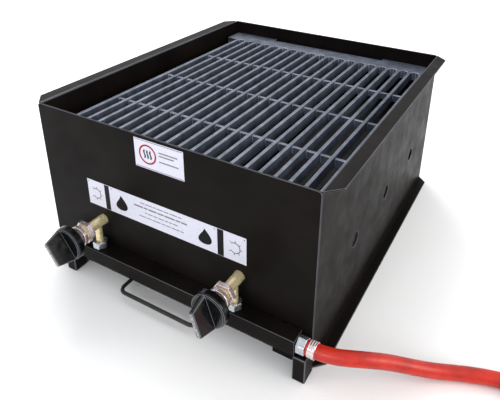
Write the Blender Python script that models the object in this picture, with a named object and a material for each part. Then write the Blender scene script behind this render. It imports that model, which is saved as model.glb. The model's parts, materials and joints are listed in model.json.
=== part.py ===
"""Table-top gas grill with two tube burners, in metres, +Z up.

The origin lies on the resting surface, under the middle of the grill. +X is to the right of
someone who faces the knobs, and +Y runs from the knobs towards the back.
"""

import math

import bmesh
import bpy
import numpy as np
from mathutils import Vector

# Sheet-metal box
BODY_WIDTH = 0.380
BODY_DEPTH = 0.448
RIM_HEIGHT = 0.226
SHEET = 0.002
FOLD_RADIUS = 0.003
RIM_FLANGE = 0.016
GROUND_LEDGE = 0.013
PANEL_CORNER = 0.004
VENT_RADIUS = 0.0095
VENT_HEIGHT = 0.095
VENT_SETBACKS = (0.113, 0.228, 0.347)
GAP = 0.0003

# Cooking grid and its two support angles
GRID_TOP = 0.2044
GRID_THICKNESS = 0.0124
GRID_CLEARANCE = 0.0008
BAR_COUNT = 20
BAR_TOP = 0.0040
BAR_BOTTOM = 0.0062
LEFT_BAR_MARGIN = 0.0280
RIGHT_BAR_MARGIN = 0.0112
GRID_LEFT_PLAY = 0.005
GRID_RIGHT_PLAY = 0.002
END_BAR_FRONT = 0.016
END_BAR_BACK = 0.028
END_TAB_DEPTH = 0.0083
END_TAB_LENGTH = 0.083
CROSSBAR_SETBACK = 0.1036
CROSSBAR_PITCH = 0.1042
CROSSBAR_COUNT = 3
CROSSBAR_TOP = 0.0040
CROSSBAR_BOTTOM = 0.0056
CROSSBAR_DROP = 0.0030
SLOT_END_STEPS = 4
SUPPORT_LEG = 0.014

# Burners, the two hangers that carry them and the heat plates above
BURNER_RADIUS = 0.016
BURNER_WALL = 0.0015
BURNER_START = 0.022
BURNER_REAR_SPACE = 0.023
PORT_RADIUS = 0.0016
PORT_PITCH = 0.030
PORT_ROWS = (-45.0, 45.0)
HANGER_DROP = 0.026
HANGER_RISE = 0.028
FRONT_HANGER_SETBACK = 0.045
REAR_HANGER_SETBACK = 0.046
PIN_RADIUS = 0.0015
PIN_HEAD_RADIUS = 0.0032
PIN_SETBACK = 0.036
HEAT_PLATE_WIDTH = 0.110
HEAT_PLATE_RISE = 0.025
HEAT_PLATE_SHEET = 0.0012
HEAT_PLATE_END_SPACE = 0.018

# Gas manifold, square tube across the front
MANIFOLD_SIZE = 0.020
MANIFOLD_WALL = 0.002
MANIFOLD_BOTTOM = 0.0327
MANIFOLD_LEFT_INSET = 0.033
MANIFOLD_RIGHT_INSET = 0.0115
END_CAP_THICKNESS = 0.003
FOOT_WIDTH = 0.015
LEFT_FOOT_INSET = 0.040
RIGHT_FOOT_INSET = 0.0052

# Valves. Lengths along a valve are measured outwards from the front panel's face.
VALVE_X = 0.100
VALVE_HEIGHT = 0.088
BARREL_RADIUS = 0.0065
BARREL_INNER_END = -0.012
GAS_BORE = 0.0025
CHAMBER_START = 0.028
CHAMBER_RADIUS = 0.0070
BODY_RADIUS = 0.0095
BODY_FRONT = 0.036
COLLAR_START = 0.027
COLLAR_LENGTH = 0.006
COLLAR_RADIUS = 0.0140
BONNET_RADIUS = 0.0130
BONNET_LENGTH = 0.006
BOSS_RADIUS = 0.0075
BOSS_LENGTH = 0.004
NECK_RADIUS = 0.0045
NECK_DIP = 0.0045
INLET_NUT_RADIUS = 0.0092
INLET_NUT_HEIGHT = 0.0090
INJECTOR_LENGTH = 0.012
INJECTOR_RADIUS = 0.0058
ORIFICE_RADIUS = 0.0007
STEM_RADIUS = 0.0030
STEM_FLAT = 0.0020
STEM_SHOULDER = 0.0050
STEM_START = 0.033
STEM_END = 0.066
SHOULDER_LENGTH = 0.0012
WASHER_THICKNESS = 0.001
WASHER_RADIUS = 0.0064

# Knobs
KNOB_REACH = 0.080
KNOB_SKIRT_START = 0.050
KNOB_SKIRT_LENGTH = 0.0095
KNOB_RADIUS = 0.0210
KNOB_HUB_RADIUS = 0.0070
GRIP_BASE = (0.0400, 0.0085)
GRIP_FACE = (0.0300, 0.0060)
GRIP_EDGE = 0.0008
GRIP_CORNER = 0.0030
GRIP_FACE_CORNER = 0.0020
GRIP_TRIM_CORNER = 0.0014
GRIP_ROOT = 0.0005
KNOB_RIM_WALL = 0.0015
KNOB_HUB_RECESS = 0.0010
KNOB_HOLLOW_DEPTH = 0.0065
KNOB_FRONT_ROUND = ((0.0, 0.0030), (0.0007, 0.0010), (0.0021, 0.0))
LEFT_KNOB_TILT = 34.0
RIGHT_KNOB_TILT = 18.0

# Drip tray
TRAY_WIDTH = 0.278
TRAY_HEIGHT = 0.021
TRAY_SHEET = 0.0012
TRAY_FRONT_SETBACK = 0.001
TRAY_REAR_SPACE = 0.027
TRAY_SIDE_PLAY = 0.0020
RUNNER_BOTTOM = 0.0030
RUNNER_SHEET = 0.0015
RUNNER_SHELF = 0.0120
RUNNER_HEIGHT = 0.0200
TRAY_OPENING_HEIGHT = 0.034
HANDLE_RADIUS = 0.0024
HANDLE_WIDTH = 0.114
HANDLE_REACH = 0.028
HANDLE_HEIGHT = 0.015
HANDLE_BEND = 0.009

# Labels
LABEL_THICKNESS = 0.0004
FRONT_LABEL = (-0.1195, 0.1096, 0.1064, 0.1416)
SURFACE_LABEL = (-0.0355, 0.0323, 0.1860, 0.2220)

# Gas hose. It lies on the resting surface, beyond the right side of the grill. A route gives its
# places from the hose's start, and how far the hose is raised above lying flat.
HOSE_RADIUS = 0.008
HOSE_STRAIGHT = 0.011
HOSE_END_GAP = 0.0005
NIPPLE_HEX_RADIUS = 0.0098
NIPPLE_LENGTH = 0.0100
NIPPLE_THREAD_RADIUS = 0.0060
FERRULE_WALL = 0.0012
FERRULE_LENGTH = 0.0080
FERRULE_SETBACK = 0.0025
HOSE_ROUTE = (
    (0.0207, 0.0009, 0.0347),
    (0.0307, 0.0035, 0.0349),
    (0.0407, 0.0077, 0.0346),
    (0.0507, 0.0135, 0.0333),
    (0.0607, 0.0205, 0.0306),
    (0.0707, 0.0287, 0.0264),
    (0.0817, 0.0382, 0.0205),
    (0.0947, 0.0485, 0.0131),
    (0.1087, 0.0588, 0.0063),
    (0.1247, 0.0688, 0.0018),
    (0.1447, 0.0795, 0.0001),
    (0.1707, 0.0893, 0.0000),
    (0.1957, 0.0948, 0.0000),
)
COIL_CENTRE = (0.2907, 0.0218)
COIL_INNER_TURN = 0.075
COIL_OUTER_TURN = 0.091
COIL_GAP = 0.0016
TAIL_ROUTE = (
    (0.1827, -0.0692, 0.0072),
    (0.1937, -0.0692, 0.0072),
    (0.2067, -0.0692, 0.0055),
    (0.2217, -0.0692, 0.0017),
)

# Regulator on the hose's far end
OUTLET_LENGTH = 0.014
REGULATOR_RADIUS = 0.027
REGULATOR_BASE_TOP = 0.0260
REGULATOR_TOP = 0.0430
REGULATOR_BASE_BOTTOM = 0.0040
REGULATOR_BASE_SLOPE = 0.0060
COVER_SHAPE = ((1.0, 0.0), (1.0, 0.33), (0.85, 0.62), (0.45, 0.80), (0.40, 1.0))
BULLNOSE_LENGTH = 0.034
BULLNOSE_RADIUS = 0.0085
BULLNOSE_NECK_RADIUS = 0.0065
BULLNOSE_HEAD_LENGTH = 0.0100
BULLNOSE_LAND = 0.0030
BULLNOSE_TIP = 0.0020
BULLNOSE_SHOULDER_RADIUS = 0.0064
BULLNOSE_TIP_RADIUS = 0.0038
UNION_NUT_SETBACK = 0.003
UNION_NUT_RADIUS = 0.0150
UNION_NUT_LENGTH = 0.018

# Places that follow from the sizes above
FRONT_Y = (KNOB_REACH - BODY_DEPTH) / 2
BACK_Y = FRONT_Y + BODY_DEPTH
INNER_X = BODY_WIDTH / 2 - SHEET
SPAN_X = INNER_X - GAP
GRID_BOTTOM = GRID_TOP - GRID_THICKNESS
MANIFOLD_LEFT = MANIFOLD_LEFT_INSET - BODY_WIDTH / 2
MANIFOLD_RIGHT = BODY_WIDTH / 2 - MANIFOLD_RIGHT_INSET
MANIFOLD_TOP = MANIFOLD_BOTTOM + MANIFOLD_SIZE
MANIFOLD_AXIS_Y = FRONT_Y - GAP - MANIFOLD_SIZE / 2
MANIFOLD_AXIS_Z = MANIFOLD_BOTTOM + MANIFOLD_SIZE / 2
HOSE_START_X = MANIFOLD_RIGHT + GAP + NIPPLE_LENGTH + HOSE_END_GAP
FERRULE_RADIUS = HOSE_RADIUS + GAP + FERRULE_WALL
FOOT_TOP = min(MANIFOLD_BOTTOM, MANIFOLD_AXIS_Z - FERRULE_RADIUS) - GAP
TRAY_BOTTOM = RUNNER_BOTTOM + RUNNER_SHEET + GAP
RUNNER_INNER_X = TRAY_WIDTH / 2 + TRAY_SIDE_PLAY
TRAY_OPENING = 2 * (RUNNER_INNER_X + RUNNER_SHEET + GAP)
BOSS_FRONT = BODY_FRONT + GAP + BONNET_LENGTH + BOSS_LENGTH
GRIP_TRIM = (GRIP_FACE[0] - 2 * GRIP_EDGE, GRIP_FACE[1] - 2 * GRIP_EDGE)

OUTWARDS = (math.radians(90), 0, 0)
RIGHTWARDS = (0, math.radians(90), 0)
LEFTWARDS = (0, math.radians(-90), 0)


def clear_scene():
    for obj in list(bpy.data.objects):
        bpy.data.objects.remove(obj)


def coat(name, colour, roughness, metallic):
    """A Principled material for one sub-part."""
    finish = bpy.data.materials.new(name)
    finish.use_nodes = True
    shader = finish.node_tree.nodes["Principled BSDF"]
    shader.inputs["Base Color"].default_value = (*colour, 1.0)
    shader.inputs["Roughness"].default_value = roughness
    shader.inputs["Metallic"].default_value = metallic
    return finish


FINISHES = {
    "black_coat": ((0.020, 0.018, 0.017), 0.42, 0.0),
    "cast_iron": ((0.050, 0.055, 0.065), 0.55, 0.3),
    "dark_steel": ((0.060, 0.060, 0.062), 0.50, 0.6),
    "zinc": ((0.62, 0.64, 0.66), 0.30, 1.0),
    "nickel": ((0.72, 0.66, 0.62), 0.25, 1.0),
    "brass": ((0.78, 0.62, 0.30), 0.25, 1.0),
    "black_plastic": ((0.012, 0.012, 0.013), 0.22, 0.0),
    "paper": ((0.78, 0.78, 0.82), 0.45, 0.0),
    "rubber": ((0.80, 0.05, 0.02), 0.45, 0.0),
    "grey_casting": ((0.45, 0.47, 0.50), 0.45, 0.7),
    "blue_coat": ((0.08, 0.16, 0.40), 0.40, 0.0),
}


def add_object(name, data, location=(0, 0, 0), rotation=(0, 0, 0), parent=None):
    """Links an object. A child's place is in its parent's frame."""
    obj = bpy.data.objects.new(name, data)
    bpy.context.scene.collection.objects.link(obj)
    obj.location = location
    obj.rotation_euler = rotation
    obj.parent = parent
    return obj


def to_object(name, body, location=(0, 0, 0), rotation=(0, 0, 0), parent=None):
    """Turns a bmesh into an object with its faces pointing out."""
    bmesh.ops.recalc_face_normals(body, faces=body.faces)
    mesh = bpy.data.meshes.new(name)
    body.to_mesh(mesh)
    body.free()
    return add_object(name, mesh, location, rotation, parent)


def finished(obj, finish, smooth=True):
    """Gives a sub-part its own material and its shading."""
    obj.data.materials.clear()
    obj.data.materials.append(coat(obj.name, *FINISHES[finish]))
    if smooth and obj.type == "MESH":
        obj.data.shade_smooth()
        obj.data.set_sharp_from_angle(angle=math.radians(35))
    return obj


def combine(target, other, operation):
    """Applies an exact Boolean of the target with another object, which is then removed."""
    modifier = target.modifiers.new("combine", "BOOLEAN")
    modifier.operation = operation
    modifier.solver = "EXACT"
    modifier.object = other
    graph = bpy.context.evaluated_depsgraph_get()
    result = bpy.data.meshes.new_from_object(target.evaluated_get(graph))
    target.modifiers.clear()
    target.data = result
    bpy.data.objects.remove(other)


def cut(target, cutter):
    combine(target, cutter, "DIFFERENCE")


def join(target, other):
    combine(target, other, "UNION")


def circle(radius, segments, centre=(0, 0)):
    angles = [2 * math.pi * (i + 0.5) / segments for i in range(segments)]
    return [(centre[0] + radius * math.cos(a), centre[1] + radius * math.sin(a)) for a in angles]


def rectangle(x0, x1, y0, y1):
    return [(x0, y0), (x1, y0), (x1, y1), (x0, y1)]


def rounded_rectangle(width, depth, radius, steps=3):
    """A centred rectangle with arcs for corners."""
    outline = []
    for quarter, (sx, sy) in enumerate(((1, 1), (-1, 1), (-1, -1), (1, -1))):
        centre = (sx * (width / 2 - radius), sy * (depth / 2 - radius))
        for step in range(steps + 1):
            angle = math.radians(90 * quarter + 90 * step / steps)
            outline.append(
                (centre[0] + radius * math.cos(angle), centre[1] + radius * math.sin(angle))
            )
    return outline


def fold(centre, radius, start, end, steps=3):
    """Points on the arc of a folded sheet, from one angle in degrees to another."""
    angles = [math.radians(start + (end - start) * i / steps) for i in range(steps + 1)]
    return [(centre[0] + radius * math.cos(a), centre[1] + radius * math.sin(a)) for a in angles]


def shifted(loop):
    return loop[1:] + loop[:1]


def fill_face(body, rims):
    """Fills a flat face between an outline and the holes in it."""
    edges = []
    for rim in rims:
        for a, b in zip(rim, shifted(rim)):
            edges.append(body.edges.get((a, b)) or body.edges.new((a, b)))
    bmesh.ops.triangle_fill(body, use_beauty=True, use_dissolve=False, edges=edges)


def prism(name, outline, height, holes=(), **place):
    """An outline with holes, in local XY, raised along local Z."""
    body = bmesh.new()
    rims = []
    for loop in (outline, *holes):
        corners = [body.verts.new((x, y, 0.0)) for x, y in loop]
        rims += list(zip(corners, corners[1:] + corners[:1]))
    edges = [body.edges.new(rim) for rim in rims]
    filled = bmesh.ops.triangle_fill(body, use_beauty=True, use_dissolve=False, edges=edges)
    faces = [item for item in filled["geom"] if isinstance(item, bmesh.types.BMFace)]
    raised = {v: body.verts.new((v.co.x, v.co.y, height)) for v in list(body.verts)}
    for face in faces:
        body.faces.new([raised[v] for v in face.verts])
    for a, b in rims:
        body.faces.new((a, b, raised[b], raised[a]))
    return to_object(name, body, **place)


def block(name, low, high, **place):
    """A box between two corners."""
    outline = rectangle(low[0], high[0], low[1], high[1])
    obj = prism(name, outline, high[2] - low[2], **place)
    obj.location = Vector(obj.location) + Vector((0, 0, low[2]))
    return obj


def turned(name, profile, segments=24, **place):
    """A body turned about local Z from (radius, height) points.

    A profile that starts and ends on the axis makes a solid, any other makes a ring.
    """
    body = bmesh.new()
    rings = []
    for radius, height in profile:
        points = circle(radius, segments) if radius > 0 else [(0.0, 0.0)]
        rings.append([body.verts.new((x, y, height)) for x, y in points])
    pairs = list(zip(rings, rings[1:]))
    if len(rings[0]) > 1:
        pairs.append((rings[-1], rings[0]))
    for lower, upper in pairs:
        for i in range(segments):
            j = (i + 1) % segments
            corners = (
                lower[i % len(lower)],
                lower[j % len(lower)],
                upper[j % len(upper)],
                upper[i % len(upper)],
            )
            body.faces.new(list(dict.fromkeys(corners)))
    return to_object(name, body, **place)


def pipe(name, inner, outer, start, end, segments=24, **place):
    """A round tube, open at both ends."""
    profile = ((inner, start), (outer, start), (outer, end), (inner, end))
    return turned(name, profile, segments, **place)


def rod(name, radius, start, end, segments=24, **place):
    """A round bar."""
    profile = ((0, start), (radius, start), (radius, end), (0, end))
    return turned(name, profile, segments, **place)


def lofted(name, sections, **place):
    """A body through outlines of equal point count, each at its own height."""
    body = bmesh.new()
    rings = []
    for outline, height in sections:
        rings.append([body.verts.new((x, y, height)) for x, y in outline])
    for lower, upper in zip(rings, rings[1:]):
        for i in range(len(lower)):
            j = (i + 1) % len(lower)
            body.faces.new((lower[i], lower[j], upper[j], upper[i]))
    body.faces.new(rings[0])
    body.faces.new(rings[-1])
    return to_object(name, body, **place)


def smooth_route(points, spacing):
    """Evenly spaced points on a Catmull-Rom curve through the given ones."""
    given = [Vector(p) for p in points]
    ends = [2 * given[0] - given[1], *given, 2 * given[-1] - given[-2]]
    fine = []
    for a, b, c, d in zip(ends, ends[1:], ends[2:], ends[3:]):
        for step in range(12):
            t = step / 12
            across = (c - a) * t + (2 * a - 5 * b + 4 * c - d) * t**2 + (3 * b - a - 3 * c + d) * t**3
            fine.append(b + across / 2)
    fine.append(given[-1])
    reached = np.cumsum([0.0] + [(b - a).length for a, b in zip(fine, fine[1:])])
    count = max(2, round(reached[-1] / spacing) + 1)
    wanted = np.linspace(0, reached[-1], count)
    axes = [np.interp(wanted, reached, [p[axis] for p in fine]) for axis in range(3)]
    return [Vector(p) for p in zip(*axes)]


def round_bar(name, points, radius, resolution, **place):
    """A bar of round section along a line of points, with closed ends."""
    curve = bpy.data.curves.new(name, "CURVE")
    curve.dimensions = "3D"
    curve.bevel_depth = radius
    curve.bevel_resolution = resolution
    curve.use_fill_caps = True
    spline = curve.splines.new("POLY")
    spline.points.add(len(points) - 1)
    for slot, point in zip(spline.points, points):
        slot.co = (*point, 1.0)
    return add_object(name, curve, **place)


# Sheet-metal box


def front_panel():
    """Plain sheet with a cut-out for the drip tray and a hole for each valve barrel."""
    half = BODY_WIDTH / 2
    slot = TRAY_OPENING / 2
    outline = [(-half, 0), (-slot, 0), (-slot, TRAY_OPENING_HEIGHT), (slot, TRAY_OPENING_HEIGHT)]
    outline += [(slot, 0), (half, 0)]
    outline += fold((half - PANEL_CORNER, RIM_HEIGHT - PANEL_CORNER), PANEL_CORNER, 0, 90)
    outline += fold((PANEL_CORNER - half, RIM_HEIGHT - PANEL_CORNER), PANEL_CORNER, 90, 180)
    holes = [circle(BARREL_RADIUS + 2 * GAP, 24, (x, VALVE_HEIGHT)) for x in (-VALVE_X, VALVE_X)]
    place = {"location": (0, FRONT_Y + SHEET, 0), "rotation": OUTWARDS}
    return finished(prism("front_panel", outline, SHEET, holes, **place), "black_coat")


def back_panel():
    half = BODY_WIDTH / 2
    outline = [(-half, 0), (half, 0)]
    outline += fold((half - PANEL_CORNER, RIM_HEIGHT - PANEL_CORNER), PANEL_CORNER, 0, 90)
    outline += fold((PANEL_CORNER - half, RIM_HEIGHT - PANEL_CORNER), PANEL_CORNER, 90, 180)
    place = {"location": (0, BACK_Y, 0), "rotation": OUTWARDS}
    return finished(prism("back_panel", outline, SHEET, **place), "black_coat")


def side_chains():
    """The two faces of a side panel's section, from the ledge's tip to the rim flange's tip."""
    outer = BODY_WIDTH / 2
    axis = outer - SHEET + FOLD_RADIUS
    chains = []
    for radius, raised in ((FOLD_RADIUS, 0), (FOLD_RADIUS - SHEET, SHEET)):
        chain = [(outer + GROUND_LEDGE, raised)]
        chain += fold((axis, FOLD_RADIUS), radius, 270, 180)
        chain += fold((axis, RIM_HEIGHT - FOLD_RADIUS), radius, 180, 90)
        chain += [(outer + RIM_FLANGE, RIM_HEIGHT - raised)]
        chains.append(chain)
    return chains


def side_panel(name, side):
    """Folded sheet with three vents. The flange and the ledge end in 45-degree mitres."""
    ends = ((FRONT_Y + SHEET + GAP, 1), (BACK_Y - SHEET - GAP, -1))
    mitre_start = BODY_WIDTH / 2 - SHEET + FOLD_RADIUS
    body = bmesh.new()
    layers = []
    vents = []
    for chain in side_chains():
        front, back = [
            [body.verts.new((side * x, y + inwards * max(0.0, x - mitre_start), z)) for x, z in chain]
            for y, inwards in ends
        ]
        layers.append((front, back))
        web = len(chain) // 2
        rings = []
        for setback in VENT_SETBACKS:
            outline = circle(VENT_RADIUS, 24, (FRONT_Y + setback, VENT_HEIGHT))
            rings.append([body.verts.new((side * chain[web][0], y, z)) for y, z in outline])
        vents.append(rings)
        for i in range(len(chain) - 1):
            corners = (front[i], front[i + 1], back[i + 1], back[i])
            if i == web - 1:
                fill_face(body, [list(corners), *rings])
            else:
                body.faces.new(corners)
    (near_front, near_back), (far_front, far_back) = layers
    for near, far in ((near_front, far_front), (near_back, far_back)):
        for i in range(len(near) - 1):
            body.faces.new((near[i], near[i + 1], far[i + 1], far[i]))
    for tip in (0, -1):
        body.faces.new((near_front[tip], near_back[tip], far_back[tip], far_front[tip]))
    for near, far in zip(*vents):
        for a, b, c, d in zip(near, shifted(near), shifted(far), far):
            body.faces.new((a, b, c, d))
    return finished(to_object(name, body), "black_coat")


def grid_support(name, wall_y, inwards):
    """Angle along a panel: its upper leg carries the end of the grid."""
    top = GRID_BOTTOM - GAP
    near = wall_y + inwards * GAP
    outline = [(near, top), (near, top - SUPPORT_LEG), (near + inwards * SHEET, top - SUPPORT_LEG)]
    outline += [(near + inwards * SHEET, top - SHEET), (near + inwards * SUPPORT_LEG, top - SHEET)]
    outline += [(near + inwards * SUPPORT_LEG, top)]
    place = {"location": (-SPAN_X, 0, 0), "rotation": (math.radians(90), 0, math.radians(90))}
    return finished(prism(name, outline, 2 * SPAN_X, **place), "black_coat")


# Cooking grid


def grid_lines():
    """Y positions of the casting's edges, from front to back."""
    tab_front = FRONT_Y + SHEET + GRID_CLEARANCE
    bar_front = tab_front + END_TAB_DEPTH
    tab_back = BACK_Y - SHEET - GRID_CLEARANCE
    bar_back = tab_back - END_TAB_DEPTH
    return tab_front, bar_front, bar_front + END_BAR_FRONT, bar_back - END_BAR_BACK, bar_back, tab_back


def bar_centres():
    first = -INNER_X + LEFT_BAR_MARGIN
    pitch = (2 * INNER_X - LEFT_BAR_MARGIN - RIGHT_BAR_MARGIN) / (BAR_COUNT - 1)
    return [first + i * pitch for i in range(BAR_COUNT)], pitch


def grid_outline():
    tab_front, bar_front, slot_front, slot_back, bar_back, tab_back = grid_lines()
    centres, _ = bar_centres()
    left = -INNER_X + GRID_LEFT_PLAY
    right = INNER_X - GRID_RIGHT_PLAY
    first = centres[0] - BAR_BOTTOM / 2
    last = centres[-1] + BAR_BOTTOM / 2
    inset = END_TAB_LENGTH
    front = [(left, tab_front), (left + inset, tab_front), (left + inset, bar_front)]
    front += [(right - inset, bar_front), (right - inset, tab_front), (right, tab_front)]
    back = [(right, tab_back), (right - inset, tab_back), (right - inset, bar_back)]
    back += [(left + inset, bar_back), (left + inset, tab_back), (left, tab_back)]
    sides_right = [(right, slot_front), (last, slot_front), (last, slot_back), (right, slot_back)]
    sides_left = [(left, slot_back), (first, slot_back), (first, slot_front), (left, slot_front)]
    return front + sides_right + back + sides_left


def cooking_grid():
    """One casting: long bars between two end bars, with lower crossbars between the bars."""
    body = bmesh.new()
    corners = {}
    _, _, slot_front, slot_back, _, _ = grid_lines()
    centres, pitch = bar_centres()
    crossbars = [FRONT_Y + CROSSBAR_SETBACK + i * CROSSBAR_PITCH for i in range(CROSSBAR_COUNT)]
    halves = {"top": (pitch - BAR_TOP) / 2, "low": (pitch - BAR_BOTTOM) / 2}
    sink = CROSSBAR_DROP / GRID_THICKNESS
    halves["mid"] = halves["top"] + (halves["low"] - halves["top"]) * sink
    heights = {"top": GRID_TOP, "mid": GRID_TOP - CROSSBAR_DROP, "low": GRID_BOTTOM}
    widths = {"top": CROSSBAR_TOP / 2, "mid": CROSSBAR_TOP / 2, "low": CROSSBAR_BOTTOM / 2}

    def corner(x, y, level):
        key = (round(x, 7), round(y, 7), level)
        if key not in corners:
            corners[key] = body.verts.new((x, y, heights[level]))
        return corners[key]

    def arc(centre, level, back):
        """Corners of a slot's round end, from its left side to its right side."""
        half = halves[level]
        y = slot_back - halves["top"] if back else slot_front + halves["top"]
        turn = 1 if back else -1
        angles = [math.pi * (1 - i / SLOT_END_STEPS) for i in range(SLOT_END_STEPS + 1)]
        return [corner(centre + half * math.cos(a), y + turn * half * math.sin(a), level) for a in angles]

    def side_points(centre, sign, level):
        """Corners along a slot's straight side at the crossbars, in pairs."""
        x = centre + sign * halves[level]
        half = widths[level]
        return [(corner(x, y - half, level), corner(x, y + half, level)) for y in crossbars]

    top_rims = []
    low_rims = []
    for centre in [(a + b) / 2 for a, b in zip(centres, centres[1:])]:
        ends = {
            (level, back): arc(centre, level, back)
            for level in ("top", "low")
            for back in (False, True)
        }
        marks = {
            (level, sign): side_points(centre, sign, level)
            for level in ("top", "mid", "low")
            for sign in (-1, 1)
        }
        for back in (False, True):
            upper, lower = ends["top", back], ends["low", back]
            for i in range(SLOT_END_STEPS):
                body.faces.new((upper[i], upper[i + 1], lower[i + 1], lower[i]))
        for sign in (-1, 1):
            end = 0 if sign < 0 else -1
            upper, middle, lower = marks["top", sign], marks["mid", sign], marks["low", sign]
            start = (ends["top", False][end], ends["low", False][end])
            for i in range(CROSSBAR_COUNT):
                wall = [start[0], upper[i][0], middle[i][0], lower[i][0], start[1]]
                if i > 0:
                    wall.append(middle[i - 1][1])
                body.faces.new(wall)
                body.faces.new((upper[i][0], upper[i][1], middle[i][1], middle[i][0]))
                start = (upper[i][1], lower[i][1])
            last = (ends["top", True][end], ends["low", True][end])
            body.faces.new((start[0], last[0], last[1], start[1], middle[-1][1]))
        for i in range(CROSSBAR_COUNT):
            left, right = marks["mid", -1][i], marks["mid", 1][i]
            low_left, low_right = marks["low", -1][i], marks["low", 1][i]
            body.faces.new((left[0], right[0], right[1], left[1]))
            body.faces.new((left[0], right[0], low_right[0], low_left[0]))
            body.faces.new((left[1], right[1], low_right[1], low_left[1]))
        loop = list(ends["top", False])
        loop += [v for pair in marks["top", 1] for v in pair]
        loop += list(reversed(ends["top", True]))
        loop += [v for pair in reversed(marks["top", -1]) for v in reversed(pair)]
        top_rims.append(loop)
        rights = [v for pair in marks["low", 1] for v in pair]
        lefts = [v for pair in marks["low", -1] for v in pair]
        low_rims.append([*ends["low", False], rights[0], lefts[0]])
        for i in range(1, 2 * CROSSBAR_COUNT - 1, 2):
            low_rims.append([lefts[i], rights[i], rights[i + 1], lefts[i + 1]])
        low_rims.append([lefts[-1], rights[-1], *reversed(ends["low", True])])
    for level, rims in (("top", top_rims), ("low", low_rims)):
        rims.append([corner(x, y, level) for x, y in grid_outline()])
        fill_face(body, rims)
    for a, b, c, d in zip(top_rims[-1], shifted(top_rims[-1]), shifted(low_rims[-1]), low_rims[-1]):
        body.faces.new((a, b, c, d))
    place = Vector((0, (FRONT_Y + BACK_Y) / 2, GRID_BOTTOM))
    bmesh.ops.translate(body, vec=-place, verts=body.verts)
    return finished(to_object("cooking_grid", body, location=place), "cast_iron", smooth=False)


# Burners


def burner_hanger(name, y):
    """Upright strip between the side panels, with a round hole for each burner."""
    low = VALVE_HEIGHT - HANGER_DROP
    high = VALVE_HEIGHT + HANGER_RISE
    outline = rectangle(-SPAN_X, SPAN_X, low, high)
    hole = BURNER_RADIUS + GAP
    holes = [circle(hole, 24, (x, VALVE_HEIGHT)) for x in (-VALVE_X, VALVE_X)]
    place = {"location": (0, y + SHEET, 0), "rotation": OUTWARDS}
    return finished(prism(name, outline, SHEET, holes, **place), "dark_steel")


def hanger_lines():
    return FRONT_Y + FRONT_HANGER_SETBACK, BACK_Y - REAR_HANGER_SETBACK - SHEET


def burner(name, x):
    """Tube with an open mouth, a closed far end, two rows of flame ports and a pin hole."""
    length = BODY_DEPTH - BURNER_START - BURNER_REAR_SPACE
    inner = BURNER_RADIUS - BURNER_WALL
    profile = ((0, 0), (BURNER_RADIUS, 0), (BURNER_RADIUS, length), (inner, length))
    profile += ((inner, BURNER_WALL), (0, BURNER_WALL))
    rear = BACK_Y - BURNER_REAR_SPACE
    tube = turned(name, profile, location=(x, rear, VALVE_HEIGHT), rotation=OUTWARDS)
    front_hanger, rear_hanger = hanger_lines()
    start = front_hanger + PORT_PITCH
    count = int((rear_hanger - start - PORT_PITCH / 2) / PORT_PITCH) + 1
    for degrees in PORT_ROWS:
        for i in range(count):
            centre = (x, start + i * PORT_PITCH, VALVE_HEIGHT)
            lean = (0, math.radians(degrees), 0)
            reach = 2 * BURNER_RADIUS
            cut(tube, rod("port", PORT_RADIUS, inner / 2, reach, 8, location=centre, rotation=lean))
    hole = rod("pin_hole", PIN_RADIUS + GAP, -2 * BURNER_RADIUS, 2 * BURNER_RADIUS, 12)
    hole.location = (x, BACK_Y - PIN_SETBACK, VALVE_HEIGHT)
    cut(tube, hole)
    return finished(tube, "dark_steel")


def burner_pin(name, x):
    """Pin through the burner, behind the rear hanger, so that the burner can't slide out."""
    reach = BURNER_RADIUS + 2 * PIN_HEAD_RADIUS
    head = BURNER_RADIUS + GAP
    profile = ((0, -reach), (PIN_RADIUS, -reach), (PIN_RADIUS, head), (PIN_HEAD_RADIUS, head))
    profile += ((PIN_HEAD_RADIUS, head + PIN_RADIUS), (0, head + 2 * PIN_RADIUS))
    centre = (x, BACK_Y - PIN_SETBACK, VALVE_HEIGHT)
    return finished(turned(name, profile, 12, location=centre), "zinc")


def heat_plate(name, x):
    """Folded roof over a burner, resting on the tops of both hangers."""
    half = HEAT_PLATE_WIDTH / 2
    rise = HEAT_PLATE_RISE
    low = VALVE_HEIGHT + HANGER_RISE + GAP
    slant = HEAT_PLATE_SHEET * half / math.hypot(half, rise)
    drop = HEAT_PLATE_SHEET * math.hypot(half, rise) / half
    outline = [(-half, low), (-half + slant, low), (0, low + rise - drop), (half - slant, low)]
    outline += [(half, low), (half, low + drop), (0, low + rise), (-half, low + drop)]
    outline = [(x + dx, z) for dx, z in outline]
    front = FRONT_Y + SHEET + HEAT_PLATE_END_SPACE
    back = BACK_Y - SHEET - HEAT_PLATE_END_SPACE
    place = {"location": (0, back, 0), "rotation": OUTWARDS}
    return finished(prism(name, outline, back - front, **place), "dark_steel", smooth=False)


# Gas manifold and feet


def gas_manifold():
    """Square tube against the front panel, drilled for the two valve inlets."""
    half = MANIFOLD_SIZE / 2
    bore = half - MANIFOLD_WALL
    outline = rounded_rectangle(MANIFOLD_SIZE, MANIFOLD_SIZE, MANIFOLD_WALL, 2)
    hole = rectangle(-bore, bore, -bore, bore)
    place = {"location": (MANIFOLD_LEFT, MANIFOLD_AXIS_Y, MANIFOLD_AXIS_Z), "rotation": RIGHTWARDS}
    tube = prism("gas_manifold", outline, MANIFOLD_RIGHT - MANIFOLD_LEFT, [hole], **place)
    for x in (-VALVE_X, VALVE_X):
        drill = rod("drill", NECK_RADIUS + GAP, bore - MANIFOLD_WALL, half + MANIFOLD_WALL)
        drill.location = (x, MANIFOLD_AXIS_Y, MANIFOLD_AXIS_Z)
        cut(tube, drill)
    return finished(tube, "black_coat")


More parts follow.
